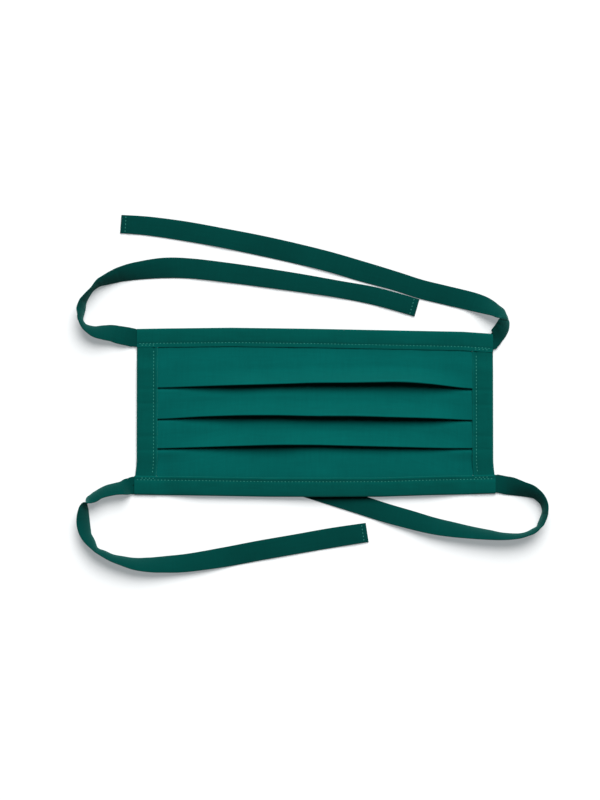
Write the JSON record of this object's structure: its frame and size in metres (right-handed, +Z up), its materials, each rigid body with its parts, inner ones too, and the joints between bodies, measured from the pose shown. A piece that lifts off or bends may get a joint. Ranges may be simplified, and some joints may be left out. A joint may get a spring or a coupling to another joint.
{
  "type": "cloth face mask",
  "caption": "Pleated woven cotton face mask with bound edges and long cloth ties sewn into its corners, lying flat and face up.",
  "frame": {"origin": "on the table, under the middle of the mask's body without its ties", "axes": "+Z up out of the mask's outer face, +X along the body to the right, +Y towards the top edge that lies on the nose"},
  "size_m": [0.2545, 0.1939, 0.0135],
  "materials": {
    "panel_cotton": "plain woven cotton, matt, dark petrol green",
    "binding_cotton": "folded and stitched woven cotton, matt, dark green",
    "tape_cotton": "folded and stitched cotton tape, matt, darker green"
  },
  "bodies": {
    "root": {"body_panel": "panel_cotton", "side_hem_left": "binding_cotton", "side_hem_right": "binding_cotton", "top_band": "binding_cotton", "bottom_band": "binding_cotton", "tie_top_left": "tape_cotton", "tie_top_right": "tape_cotton", "tie_bottom_left": "tape_cotton", "tie_bottom_right": "tape_cotton"}
  },
  "joints": []
}
